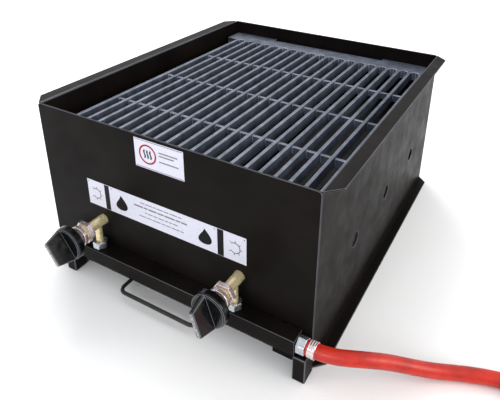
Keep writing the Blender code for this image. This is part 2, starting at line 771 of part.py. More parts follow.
def manifold_cap(name, x, hole_radius):
    """Square plate that closes an end of the manifold. One of them is drilled for the nipple."""
    half = MANIFOLD_SIZE / 2 - MANIFOLD_WALL - GAP
    holes = [circle(hole_radius, 16)] if hole_radius else []
    place = {"location": (x, MANIFOLD_AXIS_Y, MANIFOLD_AXIS_Z), "rotation": RIGHTWARDS}
    plate = prism(name, rectangle(-half, half, -half, half), END_CAP_THICKNESS, holes, **place)
    return finished(plate, "black_coat")


def front_foot(name, x):
    """Square bar on the front panel, as deep as the manifold and clear of the hose's ferrule."""
    half = FOOT_WIDTH / 2
    back = FRONT_Y - GAP
    front = back - MANIFOLD_SIZE
    low = (x - half, front, 0)
    high = (x + half, back, FOOT_TOP)
    return finished(block(name, low, high), "black_coat")


# Valves


def valve_axis(side, name):
    """Empty on the valve's axis at the panel's face: local Z points outwards, local Y up."""
    place = (side * VALVE_X, FRONT_Y, VALVE_HEIGHT)
    return add_object(f"{name}_valve_axis", None, place, OUTWARDS)


def valve_body(name, axis):
    """Brass body: a barrel through the panel, a chamber for the stem and a neck to the manifold."""
    profile = ((GAS_BORE, BARREL_INNER_END), (BARREL_RADIUS, BARREL_INNER_END))
    profile += ((BARREL_RADIUS, COLLAR_START - GAP), (BODY_RADIUS, COLLAR_START - GAP))
    profile += ((BODY_RADIUS, BODY_FRONT), (CHAMBER_RADIUS, BODY_FRONT))
    profile += ((CHAMBER_RADIUS, CHAMBER_START), (GAS_BORE, CHAMBER_START))
    body = turned(name, profile, parent=axis)
    neck_foot = VALVE_HEIGHT - MANIFOLD_TOP + NECK_DIP
    place = {"location": (0, 0, FRONT_Y - MANIFOLD_AXIS_Y), "rotation": OUTWARDS, "parent": axis}
    join(body, rod("neck", NECK_RADIUS, GAS_BORE + GAP, neck_foot, 16, **place))
    cut(body, rod("gas_way", GAS_BORE, 0, neck_foot + GAP, 16, **place))
    return finished(body, "brass")


def hexagon(radius):
    angles = [math.radians(60 * i) for i in range(6)]
    return [(radius * math.cos(a), radius * math.sin(a)) for a in angles]


def valve_collar(name, axis):
    """Hexagonal ring around the rear of the valve's chamber."""
    hole = circle(BODY_RADIUS + GAP, 24)
    ring = prism(name, hexagon(COLLAR_RADIUS), COLLAR_LENGTH, [hole], parent=axis)
    ring.location = (0, 0, COLLAR_START)
    return finished(ring, "nickel")


def valve_bonnet(name, axis):
    """Round cover over the chamber, with a boss that guides the stem."""
    base = BODY_FRONT + GAP
    guide = STEM_RADIUS + GAP
    rim = base + BONNET_LENGTH
    edge = GAP * 3
    profile = ((guide, base), (BONNET_RADIUS - edge, base), (BONNET_RADIUS, base + edge))
    profile += ((BONNET_RADIUS, rim - edge), (BONNET_RADIUS - edge, rim), (BOSS_RADIUS, rim))
    profile += ((BOSS_RADIUS, BOSS_FRONT), (guide, BOSS_FRONT))
    return finished(turned(name, profile, parent=axis), "nickel")


def inlet_nut(name, side):
    """Hexagon nut that clamps the valve's neck on top of the manifold."""
    hole = circle(NECK_RADIUS + GAP, 16)
    place = {"location": (side * VALVE_X, MANIFOLD_AXIS_Y, MANIFOLD_TOP + GAP)}
    return finished(prism(name, hexagon(INLET_NUT_RADIUS), INLET_NUT_HEIGHT, [hole], **place), "zinc")


def injector(name, axis):
    """Gas jet on the inner end of the barrel."""
    base = BARREL_INNER_END - GAP
    shoulder = base - INJECTOR_LENGTH / 2
    tip = base - INJECTOR_LENGTH
    profile = ((ORIFICE_RADIUS, base), (INJECTOR_RADIUS, base), (INJECTOR_RADIUS, shoulder))
    profile += ((INJECTOR_RADIUS / 2, tip), (ORIFICE_RADIUS, tip))
    return finished(turned(name, profile, 12, parent=axis), "brass")


def valve_stem(name, axis, tilt):
    """Stem with a shoulder inside the chamber and a flat where the knob sits."""
    shoulder = STEM_START + SHOULDER_LENGTH
    profile = ((0, STEM_START), (STEM_SHOULDER, STEM_START), (STEM_SHOULDER, shoulder))
    profile += ((STEM_RADIUS, shoulder), (STEM_RADIUS, STEM_END), (0, STEM_END))
    turn = (0, 0, tilt)
    stem = turned(name, profile, 16, parent=axis, rotation=turn)
    low = (-STEM_SHOULDER, STEM_FLAT, KNOB_SKIRT_START)
    high = (STEM_SHOULDER, STEM_SHOULDER, STEM_END + SHEET)
    cut(stem, block("flat", low, high, parent=axis, rotation=turn))
    return finished(stem, "zinc")


def thrust_washer(name, axis):
    """Washer in front of the stem's shoulder: it moves in and out but doesn't turn."""
    base = STEM_START + SHOULDER_LENGTH + GAP
    ring = pipe(name, STEM_RADIUS + GAP, WASHER_RADIUS, base, base + WASHER_THICKNESS, 20, parent=axis)
    return finished(ring, "zinc")


def grip_outline(size, corner):
    """Outline of the grip bar, long in local Y."""
    return [(y, x) for x, y in rounded_rectangle(*size, corner, 2)]


def knob(name, axis, tilt):
    """Round skirt, hollow behind, with a tapering grip bar and a D-shaped bore."""
    start = KNOB_SKIRT_START
    front = start + KNOB_SKIRT_LENGTH
    rim = KNOB_RADIUS - KNOB_RIM_WALL
    hub = start + KNOB_HUB_RECESS
    hollow = start + KNOB_HOLLOW_DEPTH
    profile = [(0, hub), (KNOB_HUB_RADIUS, hub), (KNOB_HUB_RADIUS, hollow)]
    profile += [(rim - KNOB_HUB_RECESS, hollow), (rim, start), (KNOB_RADIUS, start)]
    profile += [(KNOB_RADIUS - inset, front - setback) for inset, setback in KNOB_FRONT_ROUND]
    profile += [(0, front)]
    place = {"parent": axis, "rotation": (0, 0, tilt)}
    skirt = turned(name, profile, 32, **place)
    base = grip_outline(GRIP_BASE, GRIP_CORNER)
    face = grip_outline(GRIP_FACE, GRIP_FACE_CORNER)
    trim = grip_outline(GRIP_TRIM, GRIP_TRIM_CORNER)
    sections = [(base, hollow + GRIP_ROOT), (base, front + GRIP_ROOT)]
    sections += [(face, KNOB_REACH - GRIP_EDGE), (trim, KNOB_REACH)]
    join(skirt, lofted("grip", sections, **place))
    bore = rod("bore", STEM_RADIUS + GAP, start - SHEET, STEM_END + GAP, 16, **place)
    low = (-STEM_SHOULDER, STEM_FLAT + GAP, start - 2 * SHEET)
    high = (STEM_SHOULDER, STEM_SHOULDER, STEM_END + SHEET)
    cut(bore, block("flat", low, high, **place))
    cut(skirt, bore)
    return finished(skirt, "black_plastic")


def valve(side, word, tilt_degrees):
    axis = valve_axis(side, word)
    tilt = math.radians(tilt_degrees)
    valve_body(f"{word}_valve_body", axis)
    valve_collar(f"{word}_valve_collar", axis)
    valve_bonnet(f"{word}_valve_bonnet", axis)
    inlet_nut(f"{word}_inlet_nut", side)
    injector(f"{word}_injector", axis)
    valve_stem(f"{word}_valve_stem", axis, tilt)
    thrust_washer(f"{word}_thrust_washer", axis)
    knob(f"{word}_knob", axis, tilt)


# Drip tray


def tray_runner(name, side):
    """Angle from the front panel to the back panel: the tray's edge slides on its lower leg."""
    wall = RUNNER_INNER_X
    low = RUNNER_BOTTOM
    top = low + RUNNER_HEIGHT
    shelf = low + RUNNER_SHEET
    outline = [(wall + RUNNER_SHEET, low), (wall + RUNNER_SHEET, top), (wall, top)]
    outline += [(wall, shelf), (wall - RUNNER_SHELF, shelf), (wall - RUNNER_SHELF, low)]
    front = FRONT_Y + SHEET + GAP
    back = BACK_Y - SHEET - GAP
    place = {"location": (0, back, 0), "rotation": OUTWARDS}
    outline = [(side * x, z) for x, z in outline]
    return finished(prism(name, outline, back - front, **place), "dark_steel", smooth=False)


def drip_tray(origin):
    """Open pan. Its front wall stands in the front panel's cut-out."""
    length = BODY_DEPTH - TRAY_FRONT_SETBACK - TRAY_REAR_SPACE
    half = TRAY_WIDTH / 2
    tray = block("drip_tray", (-half, 0, 0), (half, length, TRAY_HEIGHT), parent=origin)
    inner = half - TRAY_SHEET
    low = (-inner, TRAY_SHEET, TRAY_SHEET)
    high = (inner, length - TRAY_SHEET, TRAY_HEIGHT + TRAY_SHEET)
    cut(tray, block("hollow", low, high, parent=origin))
    return finished(tray, "dark_steel", smooth=False)


def tray_handle(origin):
    """Wire loop on the tray's front wall."""
    half = HANDLE_WIDTH / 2
    height = HANDLE_HEIGHT - TRAY_BOTTOM
    far = TRAY_FRONT_SETBACK + HANDLE_REACH
    left = fold((HANDLE_BEND - half, HANDLE_BEND - far), HANDLE_BEND, 180, 270, 5)
    right = fold((half - HANDLE_BEND, HANDLE_BEND - far), HANDLE_BEND, 270, 360, 5)
    flat = [(-half, -GAP), *left, *right, (half, -GAP)]
    points = [(x, y, height) for x, y in flat]
    return finished(round_bar("tray_handle", points, HANDLE_RADIUS, 2, parent=origin), "dark_steel")


# Labels


def label(name, sides):
    left, right, low, high = sides
    outline = rectangle(left, right, low, high)
    place = {"location": (0, FRONT_Y - GAP, 0), "rotation": OUTWARDS}
    return finished(prism(name, outline, LABEL_THICKNESS, **place), "paper")


# Hose and regulator


def hose_nipple():
    """Hexagon fitting screwed into the manifold's right end cap."""
    start = MANIFOLD_RIGHT + GAP
    place = {"location": (start, MANIFOLD_AXIS_Y, MANIFOLD_AXIS_Z), "rotation": RIGHTWARDS}
    nipple = prism("hose_nipple", hexagon(NIPPLE_HEX_RADIUS), NIPPLE_LENGTH, **place)
    thread = rod("thread", NIPPLE_THREAD_RADIUS, -END_CAP_THICKNESS - SHEET, GAP + SHEET, 16, **place)
    join(nipple, thread)
    return finished(nipple, "zinc")


def lying(route):
    """Points on the hose's centreline for a route given from the hose's start."""
    flat = HOSE_RADIUS + GAP
    return [Vector((HOSE_START_X + x, MANIFOLD_AXIS_Y + y, flat + rise)) for x, y, rise in route]


def hose_start():
    """The two ends of the straight length that leaves the manifold's nipple."""
    first = Vector((HOSE_START_X, MANIFOLD_AXIS_Y, MANIFOLD_AXIS_Z))
    return [first, first + Vector((HOSE_STRAIGHT, 0, 0))]


def coil_contact(turn, way):
    """Place on a route where the hose ends beside the coil, level with one of its turns."""
    outer = COIL_OUTER_TURN + HOSE_RADIUS
    chord = math.sqrt(outer**2 - (turn - HOSE_RADIUS) ** 2)
    return (COIL_CENTRE[0] - chord - COIL_GAP, COIL_CENTRE[1] + way * turn, 0.0)


def ferrule(name, start):
    """Crimped ring around the end of the hose."""
    inner = HOSE_RADIUS + GAP
    edge = FERRULE_WALL / 3
    end = FERRULE_SETBACK + FERRULE_LENGTH
    profile = ((inner, FERRULE_SETBACK), (FERRULE_RADIUS - edge, FERRULE_SETBACK))
    profile += ((FERRULE_RADIUS, FERRULE_SETBACK + edge), (FERRULE_RADIUS, end - edge))
    profile += ((FERRULE_RADIUS - edge, end), (inner, end))
    return finished(turned(name, profile, 24, location=start, rotation=RIGHTWARDS), "nickel")


def hose(name, points):
    """Hose with a straight length inside its ferrule, then a free curve."""
    centreline = [points[0], *smooth_route(points[1:], 4 * HOSE_RADIUS)]
    return finished(round_bar(name, centreline, HOSE_RADIUS, 2), "rubber")


def hose_coil():
    """Outer shape of the coiled length of hose."""
    inner = COIL_INNER_TURN - HOSE_RADIUS
    outer = COIL_OUTER_TURN + HOSE_RADIUS
    low = GAP
    high = GAP + 2 * HOSE_RADIUS
    edge = HOSE_RADIUS / 2
    profile = ((inner + edge, low), (outer - edge, low), (outer, low + edge), (outer, high - edge))
    profile += ((outer - edge, high), (inner + edge, high), (inner, high - edge), (inner, low + edge))
    centre = (HOSE_START_X + COIL_CENTRE[0], MANIFOLD_AXIS_Y + COIL_CENTRE[1], 0)
    return finished(turned("gas_hose_coil", profile, 40, location=centre), "rubber")


def regulator_outlet():
    """Hexagon fitting between the hose and the regulator, drilled through."""
    start = lying(TAIL_ROUTE)[0] - Vector((GAP, 0, 0))
    hole = [circle(GAS_BORE, 12)]
    place = {"location": start, "rotation": LEFTWARDS}
    fitting = prism("regulator_outlet", hexagon(NIPPLE_HEX_RADIUS), OUTLET_LENGTH, hole, **place)
    return finished(fitting, "brass")


def regulator_centre():
    """Point on the resting surface below the regulator's middle."""
    end = lying(TAIL_ROUTE)[0]
    return Vector((end.x - GAP - OUTLET_LENGTH - GAP - REGULATOR_RADIUS, end.y, 0))


def regulator_base():
    """Round casting with a chamfer at its foot."""
    foot = REGULATOR_RADIUS - REGULATOR_BASE_SLOPE
    profile = [(0, REGULATOR_BASE_BOTTOM), (foot, REGULATOR_BASE_BOTTOM)]
    profile += [(REGULATOR_RADIUS, REGULATOR_BASE_BOTTOM + REGULATOR_BASE_SLOPE)]
    profile += [(REGULATOR_RADIUS, REGULATOR_BASE_TOP), (0, REGULATOR_BASE_TOP)]
    return finished(turned("regulator_base", profile, 32, location=regulator_centre()), "grey_casting")


def regulator_cover():
    """Domed cover over the regulator's diaphragm."""
    low = REGULATOR_BASE_TOP + GAP
    rise = REGULATOR_TOP - low
    profile = [(0, low)]
    profile += [(REGULATOR_RADIUS * across, low + rise * up) for across, up in COVER_SHAPE]
    profile += [(0, REGULATOR_TOP)]
    return finished(turned("regulator_cover", profile, 32, location=regulator_centre()), "blue_coat")


def bullnose_start():
    """Point where the bullnose meets the regulator's base."""
    reach = Vector((-REGULATOR_RADIUS - GAP, 0, lying(TAIL_ROUTE)[0].z))
    return regulator_centre() + reach


def regulator_bullnose():
    """Hollow spigot with a round nose, which seals in the cylinder's valve."""
    tip = BULLNOSE_LENGTH
    head = tip - BULLNOSE_HEAD_LENGTH
    neck = BULLNOSE_NECK_RADIUS
    profile = [(GAS_BORE, 0), (neck, 0), (neck, head), (BULLNOSE_RADIUS, head)]
    profile += [(BULLNOSE_RADIUS, head + BULLNOSE_LAND), (BULLNOSE_SHOULDER_RADIUS, tip - BULLNOSE_TIP)]
    profile += [(BULLNOSE_TIP_RADIUS, tip), (GAS_BORE, tip)]
    place = {"location": bullnose_start(), "rotation": LEFTWARDS}
    return finished(turned("regulator_bullnose", profile, 24, **place), "brass")


def regulator_nut():
    """Union nut that turns freely on the bullnose."""
    hole = [circle(BULLNOSE_NECK_RADIUS + GAP, 24)]
    start = bullnose_start() - Vector((UNION_NUT_SETBACK, 0, 0))
    place = {"location": start, "rotation": LEFTWARDS}
    nut = prism("regulator_nut", hexagon(UNION_NUT_RADIUS), UNION_NUT_LENGTH, hole, **place)
    return finished(nut, "brass")


def build():
    clear_scene()
    front_panel()
    back_panel()
    side_panel("left_side_panel", -1)
    side_panel("right_side_panel", 1)
    grid_support("front_grid_support", FRONT_Y + SHEET, 1)
    grid_support("back_grid_support", BACK_Y - SHEET, -1)
    cooking_grid()
    for name, y in zip(("front_burner_hanger", "rear_burner_hanger"), hanger_lines()):
        burner_hanger(name, y)
    for side, word in ((-1, "left"), (1, "right")):
        burner(f"{word}_burner", side * VALVE_X)
        burner_pin(f"{word}_burner_pin", side * VALVE_X)
        heat_plate(f"{word}_heat_plate", side * VALVE_X)
        tray_runner(f"{word}_tray_runner", side)
    gas_manifold()
    manifold_cap("left_manifold_cap", MANIFOLD_LEFT, 0)
    drilled = MANIFOLD_RIGHT - END_CAP_THICKNESS
    manifold_cap("right_manifold_cap", drilled, NIPPLE_THREAD_RADIUS + GAP)
    front_foot("left_front_foot", LEFT_FOOT_INSET - BODY_WIDTH / 2)
    front_foot("right_front_foot", BODY_WIDTH / 2 - RIGHT_FOOT_INSET)
    valve(-1, "left", LEFT_KNOB_TILT)
    valve(1, "right", RIGHT_KNOB_TILT)
    tray_origin = add_object("tray_origin", None, (0, FRONT_Y + TRAY_FRONT_SETBACK, TRAY_BOTTOM))
    drip_tray(tray_origin)
    tray_handle(tray_origin)
    label("front_label", FRONT_LABEL)
    label("hot_surface_label", SURFACE_LABEL)
    hose_nipple()
    ferrule("hose_ferrule", hose_start()[0])
    inlet_route = [*HOSE_ROUTE, coil_contact(COIL_INNER_TURN, 1)]
    hose("gas_hose", [*hose_start(), *lying(inlet_route)])
    hose_coil()
    hose("gas_hose_tail", lying([*TAIL_ROUTE, coil_contact(COIL_OUTER_TURN, -1)]))
    ferrule("regulator_ferrule", lying(TAIL_ROUTE)[0])
    regulator_outlet()
    regulator_base()
    regulator_cover()
    regulator_bullnose()
    regulator_nut()


build()
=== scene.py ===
"""Looks of the table-top gas grill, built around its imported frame. Metres, +Z up.

Most CAD nodes get copies with rounded edges, one curve stands for the hose's three nodes, the two
hose ferrules get crimp grooves, and the labels get prints without any wording.
"""

import json
import math

import bmesh
import bpy
from mathutils import Matrix, Vector


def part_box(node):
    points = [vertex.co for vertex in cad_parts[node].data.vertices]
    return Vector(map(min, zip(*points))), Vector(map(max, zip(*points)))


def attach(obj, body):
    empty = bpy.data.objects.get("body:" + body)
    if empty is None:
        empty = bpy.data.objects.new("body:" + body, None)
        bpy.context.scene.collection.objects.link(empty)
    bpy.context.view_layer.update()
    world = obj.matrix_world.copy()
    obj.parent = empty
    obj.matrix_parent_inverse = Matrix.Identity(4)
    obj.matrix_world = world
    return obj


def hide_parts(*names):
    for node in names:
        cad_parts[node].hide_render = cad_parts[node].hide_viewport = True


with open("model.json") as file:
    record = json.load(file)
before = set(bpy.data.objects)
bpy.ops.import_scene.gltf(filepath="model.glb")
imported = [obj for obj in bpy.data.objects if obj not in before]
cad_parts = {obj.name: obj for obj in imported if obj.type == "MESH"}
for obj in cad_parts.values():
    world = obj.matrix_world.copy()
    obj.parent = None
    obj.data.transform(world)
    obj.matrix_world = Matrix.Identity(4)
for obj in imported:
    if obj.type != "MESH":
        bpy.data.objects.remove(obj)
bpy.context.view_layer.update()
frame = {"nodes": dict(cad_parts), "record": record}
NODES = frame["nodes"]
BODY_OF = {node: body for body, nodes in frame["record"]["behaviour"]["bodies"].items() for node in nodes}
SLOT_OF = {entry["node"]: entry["material_slot"] for entry in frame["record"]["subparts"]}

# Values for the camera, the light and the floor
CAMERA_PLACE = Vector((0.3416, -0.5595, 0.4948))
CAMERA_AZIMUTH = math.radians(28.561)
CAMERA_ELEVATION = math.radians(23.79)
CAMERA_ROLL = math.radians(1.206)
CAMERA_LENS = 37.91
CAMERA_SENSOR = 36
CAMERA_SHIFT_X = -0.0460
CAMERA_SHIFT_Y = -0.2019
CAMERA_NEAR = 0.01
SKY_COLOUR = (0.96, 0.98, 1.0)
SKY_STRENGTH = 0.95
WHITE = (1, 1, 1)
WARM = (1.0, 0.93, 0.86)
LIGHTS = (
    # name, place, target, width, height, power, colour
    ("key", (-0.9, 0.9, 1.7), (0, 0, 0.15), 1.2, 1.2, 30, WHITE),
    ("right_fill", (1.8, 0.1, 0.9), (0.2, 0, 0.1), 0.9, 0.9, 14, WARM),
    ("front_fill", (0.2, -1.8, 1.1), (0, -0.1, 0.1), 1.0, 0.6, 8, WHITE),
)
FLOOR_HALF_SIZE = 6.0
FLOOR_DROP = 0.0002
FLOOR_COLOUR = (0.97, 0.97, 0.97)
FLOOR_ROUGHNESS = 0.7

# The pale wear on the knobs' front faces fades out between these depths
KNOB_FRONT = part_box("left_knob")[0].y
WEAR_START = KNOB_FRONT + 0.0001
WEAR_END = KNOB_FRONT + 0.0004

# The Mix node's sockets for colours, which come after those for numbers and vectors
MIX_FACTOR = 0
MIX_A = 6
MIX_B = 7
MIX_RESULT = 2

# Values for the rounded copies, and the width of each one's rounded edges
SMOOTH_ANGLE = math.radians(35)
MERGE_DISTANCE = 1e-6
FLAT_ANGLE = math.radians(1)
BEVEL_ANGLE = math.radians(30)
BEVEL_SEGMENTS = 2
EDGE_WIDTHS = {
    "front_panel": 0.0005,
    "back_panel": 0.0005,
    "left_side_panel": 0.0005,
    "right_side_panel": 0.0005,
    "front_grid_support": 0.0005,
    "back_grid_support": 0.0005,
    "cooking_grid": 0.0007,
    "gas_manifold": 0.0006,
    "left_front_foot": 0.0012,
    "right_front_foot": 0.0012,
    "left_heat_plate": 0.0003,
    "right_heat_plate": 0.0003,
    "drip_tray": 0.0003,
    "hose_nipple": 0.0006,
    "left_inlet_nut": 0.0006,
    "right_inlet_nut": 0.0006,
    "left_valve_collar": 0.0007,
    "right_valve_collar": 0.0007,
    "regulator_outlet": 0.0006,
    "regulator_nut": 0.0008,
    "left_knob": 0.0004,
    "right_knob": 0.0004,
    "left_valve_bonnet": 0.0004,
    "right_valve_bonnet": 0.0004,
    "left_valve_body": 0.0003,
    "right_valve_body": 0.0003,
    "regulator_base": 0.0008,
    "regulator_cover": 0.0008,
    "regulator_bullnose": 0.0003,
    "left_burner": 0.0003,
    "right_burner": 0.0003,
    "front_burner_hanger": 0.0003,
    "rear_burner_hanger": 0.0003,
    "left_tray_runner": 0.0003,
    "right_tray_runner": 0.0003,
}

# Gas hose: its route as far as the coil, and from the coil to the regulator. Coil angles are in
# degrees swept from its start, and GAP is what the CAD keeps between touching pieces.
GAP = 0.0003
HOSE_RADIUS = 0.008
HOSE_ROUTE = (
    (0.1893, -0.1943, 0.0427),
    (0.2003, -0.1943, 0.0427),
    (0.2100, -0.1934, 0.0430),
    (0.2200, -0.1908, 0.0432),
    (0.2300, -0.1866, 0.0429),
    (0.2400, -0.1808, 0.0416),
    (0.2500, -0.1738, 0.0389),
    (0.2600, -0.1656, 0.0347),
    (0.2710, -0.1561, 0.0288),
    (0.2840, -0.1458, 0.0214),
    (0.2980, -0.1355, 0.0146),
    (0.3140, -0.1255, 0.0101),
    (0.3340, -0.1148, 0.0084),
    (0.3600, -0.1050, 0.0083),
    (0.3850, -0.0995, 0.0083),
    (0.4055, -0.0975, 0.0083),
    (0.4400, -0.0975, 0.0083),
)
TAIL_ROUTE = (
    (0.4400, -0.2635, 0.0083),
    (0.4240, -0.2635, 0.0083),
    (0.4110, -0.2635, 0.0100),
    (0.3960, -0.2635, 0.0138),
    (0.3830, -0.2635, 0.0155),
    (0.3720, -0.2635, 0.0155),
)
COIL_CENTRE = (0.480, -0.1725)
COIL_INNER_TURN = 0.075
COIL_OUTER_TURN = 0.091
COIL_SWEEP = 540
COIL_STEP = 15
WIDENING_START = 180
WIDENING_SWEEP = 160
CROSSING = 326
CROSSING_SPREAD = 42
CROSSING_RISE = 2 * (HOSE_RADIUS + GAP)
FERRULES = ("hose_ferrule", "regulator_ferrule")
CRIMPS = 3
CRIMP_DEPTH = 0.00035
CRIMP_STEPS = 24
RIM_ROUND = 0.0005
RIM_DROP = 0.0004
RING_SEGMENTS = 48

# Prints on the front label. Each row of grey bars is given by half its length and its bars' height.
PRINT_LIFT = 0.00006
PRINT_DEPTH = 0.00006
DARK_FIELDS = ((-0.0915, -0.0840), (0.0730, 0.0810))
FIELD_MARGIN = 0.0004
DIALS_X = (-0.1055, 0.0953)
DIAL_RADIUS = 0.0066
DIAL_LINE = 0.0008
DIAL_START = -140
DIAL_STEP = 45
DIAL_TICKS = 7
TICK_INNER = 1.12
TICK_OUTER = 1.42
FLAMES_X = (-0.0655, 0.0560)
FLAME_SIZE = 0.0210
FLAME_STEPS = 32
FLAME_SWELL = 0.62
FLAME_TAPER = 1.6
FLAME_BEND = 0.10
ROWS = ((0.030, 0.0012), (0.040, 0.0020), (0.024, 0.0012), (0.033, 0.0012))
ROW_SHARES = (0.20, 0.34, 0.14, 0.30, 0.22, 0.36, 0.16)
ROW_TOP = 0.0110
ROW_PITCH = 0.0062
ROW_SHIFT = -0.005
BAR_SPACE = 0.0014
SHORTEST_BAR = 0.001
DOT_RADIUS = 0.0007
DOT_DROP = 0.0026
DOT_MARGIN = 0.0022
DOTS_INNER_X = (-0.0800, 0.0695)

# Prints on the hot-surface label, placed from its left edge. Each side bar has its height above
# the ring's middle, its start and its end.
RING_X = 0.0185
RING_RISE = 0.0005
RING_RADIUS = 0.0112
RING_LINE = 0.0020
WAVE_OFFSETS = (-0.0042, 0.0, 0.0042)
WAVE_SWING = 0.0011
WAVE_DROP = 0.0052
WAVE_STEP = 0.00105
WAVE_STEPS = 10
WAVE_LINE = 0.0013
SIDE_BARS = ((0.0060, 0.0345, 0.0600), (0.0022, 0.0345, 0.0550), (-0.0052, 0.0345, 0.0610))
SIDE_BAR_HEIGHT = 0.0015
RULE_INSET = 0.0010
RULE_HEIGHT = 0.0005


# Camera and light


def add_camera():
    data = bpy.data.cameras.new("camera")
    data.lens = CAMERA_LENS
    data.sensor_width = CAMERA_SENSOR
    data.shift_x = CAMERA_SHIFT_X
    data.shift_y = CAMERA_SHIFT_Y
    data.clip_start = CAMERA_NEAR
    camera = bpy.data.objects.new("camera", data)
    bpy.context.scene.collection.objects.link(camera)
    level = math.cos(CAMERA_ELEVATION)
    ahead = Vector((-math.sin(CAMERA_AZIMUTH) * level, math.cos(CAMERA_AZIMUTH) * level, 0))
    ahead.z = -math.sin(CAMERA_ELEVATION)
    right = ahead.cross(Vector((0, 0, 1))).normalized()
    up = right.cross(ahead)
    rolled_right = math.cos(CAMERA_ROLL) * right + math.sin(CAMERA_ROLL) * up
    rolled_up = math.cos(CAMERA_ROLL) * up - math.sin(CAMERA_ROLL) * right
    turn = Matrix((rolled_right, rolled_up, -ahead)).transposed()
    camera.matrix_world = Matrix.Translation(CAMERA_PLACE) @ turn.to_4x4()
    bpy.context.scene.camera = camera


def add_area_light(name, place, target, width, height, power, colour):
    data = bpy.data.lights.new(name, "AREA")
    data.shape = "RECTANGLE"
    data.size = width
    data.size_y = height
    data.energy = power
    data.color = colour
    light = bpy.data.objects.new(name, data)
    bpy.context.scene.collection.objects.link(light)
    light.location = place
    light.rotation_euler = (Vector(target) - Vector(place)).to_track_quat("-Z", "Y").to_euler()


def add_studio():
    world = bpy.data.worlds.new("studio")
    world.use_nodes = True
    sky = world.node_tree.nodes["Background"]
    sky.inputs["Color"].default_value = (*SKY_COLOUR, 1)
    sky.inputs["Strength"].default_value = SKY_STRENGTH
    bpy.context.scene.world = world
    bpy.context.scene.view_settings.view_transform = "Standard"
    for light in LIGHTS:
        add_area_light(*light)


def add_floor():
    half = FLOOR_HALF_SIZE
    mesh = bpy.data.meshes.new("floor")
    corners = [(-half, -half, 0), (half, -half, 0), (half, half, 0), (-half, half, 0)]
    mesh.from_pydata(corners, [], [(0, 1, 2, 3)])
    floor = bpy.data.objects.new("floor", mesh)
    bpy.context.scene.collection.objects.link(floor)
    floor.location.z = -FLOOR_DROP
    paint = bpy.data.materials.new("floor")
    paint.use_nodes = True
    shader = paint.node_tree.nodes["Principled BSDF"]
    shader.inputs["Base Color"].default_value = (*FLOOR_COLOUR, 1)
    shader.inputs["Roughness"].default_value = FLOOR_ROUGHNESS
    mesh.materials.append(paint)


# Materials


class Finish:
    """A procedural Principled material: cloudy colour, uneven roughness and a fine bump."""

    def __init__(self, name, metallic=0.0):
        # The frame's own materials may hold this name, and Blender then gives the new one another.
        self.name = name
        self.material = bpy.data.materials.new(name)
        self.material.use_nodes = True
        self.tree = self.material.node_tree
        self.shader = self.tree.nodes["Principled BSDF"]
        self.shader.inputs["Metallic"].default_value = metallic
        self.place = self.tree.nodes.new("ShaderNodeTexCoord").outputs["Object"]

    def shine(self, level):
        self.shader.inputs["Specular IOR Level"].default_value = level

    def stretched(self, scale):
        """Object coordinates stretched along each axis."""
        node = self.tree.nodes.new("ShaderNodeMapping")
        node.inputs["Scale"].default_value = scale
        self.tree.links.new(self.place, node.inputs["Vector"])
        return node.outputs["Vector"]

    def noise(self, scale, detail, vector=None):
        node = self.tree.nodes.new("ShaderNodeTexNoise")
        node.inputs["Scale"].default_value = scale
        node.inputs["Detail"].default_value = detail
        node.inputs["Roughness"].default_value = 0.55
        self.tree.links.new(vector or self.place, node.inputs["Vector"])
        return node.outputs["Fac"]

    def ramp(self, source, stops):
        """A colour ramp from (position, colour) stops."""
        node = self.tree.nodes.new("ShaderNodeValToRGB")
        band = node.color_ramp
        while len(band.elements) < len(stops):
            band.elements.new(0.5)
        for element, (position, colour) in zip(band.elements, stops):
            element.position = position
            element.color = (*colour, 1)
        self.tree.links.new(source, node.inputs["Fac"])
        return node.outputs["Color"]

    def spread(self, source, low, high, start=0.3, end=0.7):
        """Maps part of a value's range, by default a texture's middle range, to another range."""
        node = self.tree.nodes.new("ShaderNodeMapRange")
        node.inputs["From Min"].default_value = start
        node.inputs["From Max"].default_value = end
        node.inputs["To Min"].default_value = low
        node.inputs["To Max"].default_value = high
        self.tree.links.new(source, node.inputs["Value"])
        return node.outputs["Result"]

    def mix(self, factor, a, b):
        """Mixes two colour sockets."""
        node = self.tree.nodes.new("ShaderNodeMix")
        node.data_type = "RGBA"
        self.tree.links.new(a, node.inputs[MIX_A])
        self.tree.links.new(b, node.inputs[MIX_B])
        self.tree.links.new(factor, node.inputs[MIX_FACTOR])
        return node.outputs[MIX_RESULT]

    def colour(self, source):
        self.tree.links.new(source, self.shader.inputs["Base Color"])

    def roughness(self, source):
        self.tree.links.new(source, self.shader.inputs["Roughness"])

    def bump(self, source, strength, distance, before=None):
        """Adds a bump, on top of an earlier one if given."""
        node = self.tree.nodes.new("ShaderNodeBump")
        node.inputs["Strength"].default_value = strength
        node.inputs["Distance"].default_value = distance
        self.tree.links.new(source, node.inputs["Height"])
        if before is not None:
            self.tree.links.new(before, node.inputs["Normal"])
        self.tree.links.new(node.outputs["Normal"], self.shader.inputs["Normal"])
        return node.outputs["Normal"]


def coated(name, dark, light, shine):
    """Satin finish with a fine orange-peel surface and faint cloudy marks, for coats, and for the lighter
    copies that paint highlights on rounded edges.
    """
    finish = Finish(name)
    finish.colour(finish.ramp(finish.noise(14, 5), ((0.35, dark), (0.70, light))))
    finish.roughness(finish.spread(finish.noise(40, 6), 0.36, 0.52))
    fine = finish.bump(finish.noise(1400, 2), 0.30, 0.00008)
    finish.bump(finish.noise(260, 3), 0.12, 0.00010, fine)
    finish.shine(shine)
    return finish


